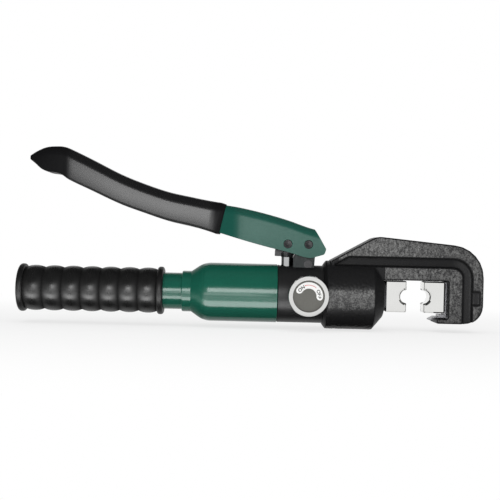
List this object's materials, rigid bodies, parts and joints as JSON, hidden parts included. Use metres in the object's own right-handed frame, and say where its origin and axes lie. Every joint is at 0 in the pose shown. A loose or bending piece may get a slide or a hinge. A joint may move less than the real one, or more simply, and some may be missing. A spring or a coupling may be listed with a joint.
{
  "type": "hydraulic crimping tool",
  "caption": "Hand-held hydraulic crimping tool with an open C head, crimping dies on a sliding ram, pump lever over a barrel handle and a release knob.",
  "frame": {"origin": "on the long axis of the tool, at the seam between barrel and pump body", "axes": "+X along the tool axis to the head, +Z to the lever side, release knob on -Y"},
  "size_m": [0.3162, 0.0593, 0.1206],
  "materials": {
    "green_enamel": "glossy dark green enamel",
    "black_body": "satin black",
    "cast_head": "rough dark casting with smooth grooves",
    "die_steel": "bright ground steel",
    "grip_rubber": "satin black rubber",
    "lever_vinyl": "glossy black vinyl",
    "seal_rubber": "plain black rubber",
    "dark_steel": "blackened steel",
    "spring_steel": "bright spring steel",
    "plunger_chrome": "polished",
    "knob_metal": "bright knurled",
    "knob_face": "matt warm grey with a printed arc",
    "valve_brass": "turned"
  },
  "bodies": {
    "frame": {"c_head": "cast_head", "pump_body": "black_body", "barrel": "green_enamel", "handle_tube": "green_enamel", "grip_sleeve": "grip_rubber", "tube_plug": "dark_steel", "oil_bladder": "seal_rubber", "bladder_clamp": "spring_steel", "barrel_seal": "seal_rubber", "head_seal": "seal_rubber", "gland_nut": "valve_brass", "gland_seal": "seal_rubber", "link_plates": "dark_steel", "link_pin": "dark_steel", "fulcrum_pin": "dark_steel", "fulcrum_bush": "valve_brass", "fulcrum_washers": "spring_steel", "inlet_seat": "valve_brass", "inlet_ball": "spring_steel", "inlet_spring": "spring_steel", "outlet_ball": "spring_steel", "outlet_spring": "spring_steel", "outlet_screw": "valve_brass", "relief_ball": "spring_steel", "relief_spring": "spring_steel", "relief_screw": "valve_brass", "release_ball": "spring_steel", "ram_wiper": "seal_rubber", "return_spring": "spring_steel", "fixed_die": "die_steel", "clip_rivet": "dark_steel"},
    "clip": {"die_clip": "spring_steel"},
    "lever": {"lever_channel": "green_enamel", "lever_grip": "lever_vinyl", "plunger_pin": "dark_steel", "pin_spacers": "spring_steel"},
    "plunger": {"pump_plunger": "plunger_chrome"},
    "knob": {"release_spindle": "dark_steel", "spindle_seal": "seal_rubber", "release_knob": "knob_metal", "knob_screw": "dark_steel", "knob_disc": "knob_face"},
    "ram": {"ram": "dark_steel", "ram_seal": "seal_rubber", "moving_die": "die_steel", "die_snap_ring": "spring_steel"}
  },
  "joints": [
    {"name": "lever_swing", "type": "hinge", "parent": "frame", "child": "lever", "pos_m": [0.0206, 0, 0.034], "axis": [0, 1, 0], "range_deg": [-17, 27]},
    {"name": "plunger_slide", "type": "slide", "parent": "frame", "child": "plunger", "axis": [0, 0, 1], "range_m": [-0.0043, 0.0067]},
    {"name": "release_turn", "type": "hinge", "parent": "frame", "child": "knob", "pos_m": [0.02, 0, 0], "axis": [0, -1, 0], "range_deg": [0, 120]},
    {"name": "ram_slide", "type": "slide", "parent": "frame", "child": "ram", "axis": [1, 0, 0], "range_m": [0, 0.0112], "stiffness_N_per_m": 1500, "springref_m": -0.006, "deforming": ["return_spring"]},
    {"name": "clip_flex", "type": "hinge", "parent": "frame", "child": "clip", "pos_m": [0.11525, 0, 0.0099], "axis": [0, 1, 0], "range_deg": [0, 1.4], "stiffness_Nm_per_rad": 0.6, "springref_deg": -1.72}
  ],
  "couplings": [
    {"joint": "plunger_slide", "follows": "lever_swing", "m_per_rad": 0.0139}
  ]
}
